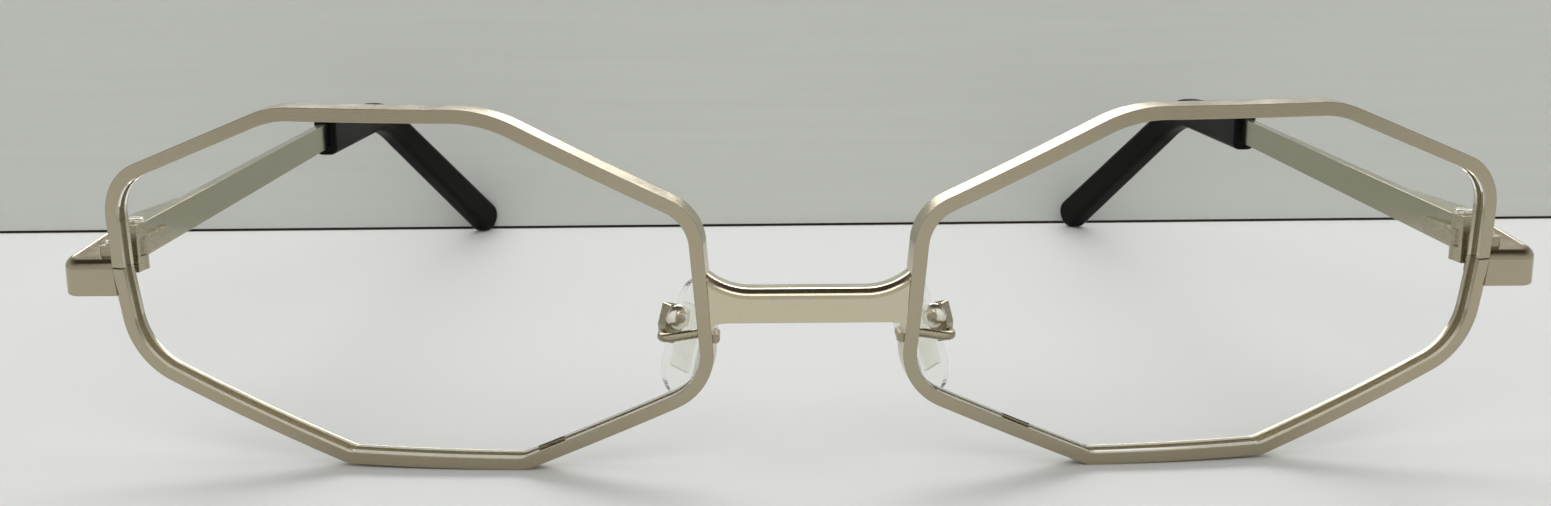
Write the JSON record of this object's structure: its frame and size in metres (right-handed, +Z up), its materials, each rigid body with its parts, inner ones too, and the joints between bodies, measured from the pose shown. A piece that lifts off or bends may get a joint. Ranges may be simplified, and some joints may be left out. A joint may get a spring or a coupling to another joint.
{
  "type": "eyeglasses",
  "caption": "Octagonal metal-rimmed eyeglasses with folding temples, bent ear tips and rocking nose pads, worn to hold corrective lenses.",
  "frame": {"origin": "centre of the bounding box, on the table under the glasses", "axes": "+Z up, -Y the way the front faces, +X to the right as seen from the front"},
  "size_m": [0.1432, 0.136, 0.0352],
  "materials": {
    "frame_metal": "polished pale gold plating",
    "hinge_metal": "plated, satin",
    "screw_steel": "polished",
    "lens": "clear, coated",
    "tip_plastic": "satin black",
    "pad_silicone": "clear, slightly cloudy",
    "pad_core": "clear, stiff"
  },
  "bodies": {
    "front": {"bridge": "frame_metal", "rim_right": "frame_metal", "lens_right": "lens", "end_piece_right": "frame_metal", "closing_block_upper_right": "hinge_metal", "closing_block_lower_right": "hinge_metal", "rim_lock_screw_right": "screw_steel", "front_hinge_leaf_right": "hinge_metal", "hinge_screw_right": "screw_steel", "pad_arm_right": "hinge_metal", "pad_box_right": "hinge_metal", "pad_screw_right": "screw_steel", "rim_left": "frame_metal", "lens_left": "lens", "end_piece_left": "frame_metal", "closing_block_upper_left": "hinge_metal", "closing_block_lower_left": "hinge_metal", "rim_lock_screw_left": "screw_steel", "front_hinge_leaf_left": "hinge_metal", "hinge_screw_left": "screw_steel", "pad_arm_left": "hinge_metal", "pad_box_left": "hinge_metal", "pad_screw_left": "screw_steel"},
    "temple_right": {"temple_right": "frame_metal", "temple_hinge_leaf_right": "hinge_metal", "temple_tip_right": "tip_plastic"},
    "pad_right": {"nose_pad_right": "pad_silicone", "pad_insert_right": "pad_core"},
    "temple_left": {"temple_left": "frame_metal", "temple_hinge_leaf_left": "hinge_metal", "temple_tip_left": "tip_plastic"},
    "pad_left": {"nose_pad_left": "pad_silicone", "pad_insert_left": "pad_core"}
  },
  "joints": [
    {"name": "temple_fold_right", "type": "hinge", "parent": "front", "child": "temple_right", "pos_m": [0.06655, -0.05445, 0.02031], "axis": [0, 0, 1], "range_deg": [0, 85]},
    {"name": "temple_fold_left", "type": "hinge", "parent": "front", "child": "temple_left", "pos_m": [-0.06655, -0.05445, 0.02031], "axis": [0, 0, -1], "range_deg": [0, 74]},
    {"name": "nose_pad_rock_right", "type": "hinge", "parent": "front", "child": "pad_right", "pos_m": [0.01292, -0.05951, 0.01389], "axis": [-0.5, -0.866, 0], "range_deg": [-8, 8]},
    {"name": "nose_pad_rock_left", "type": "hinge", "parent": "front", "child": "pad_left", "pos_m": [-0.01292, -0.05951, 0.01389], "axis": [0.5, -0.866, 0], "range_deg": [-8, 8]}
  ]
}
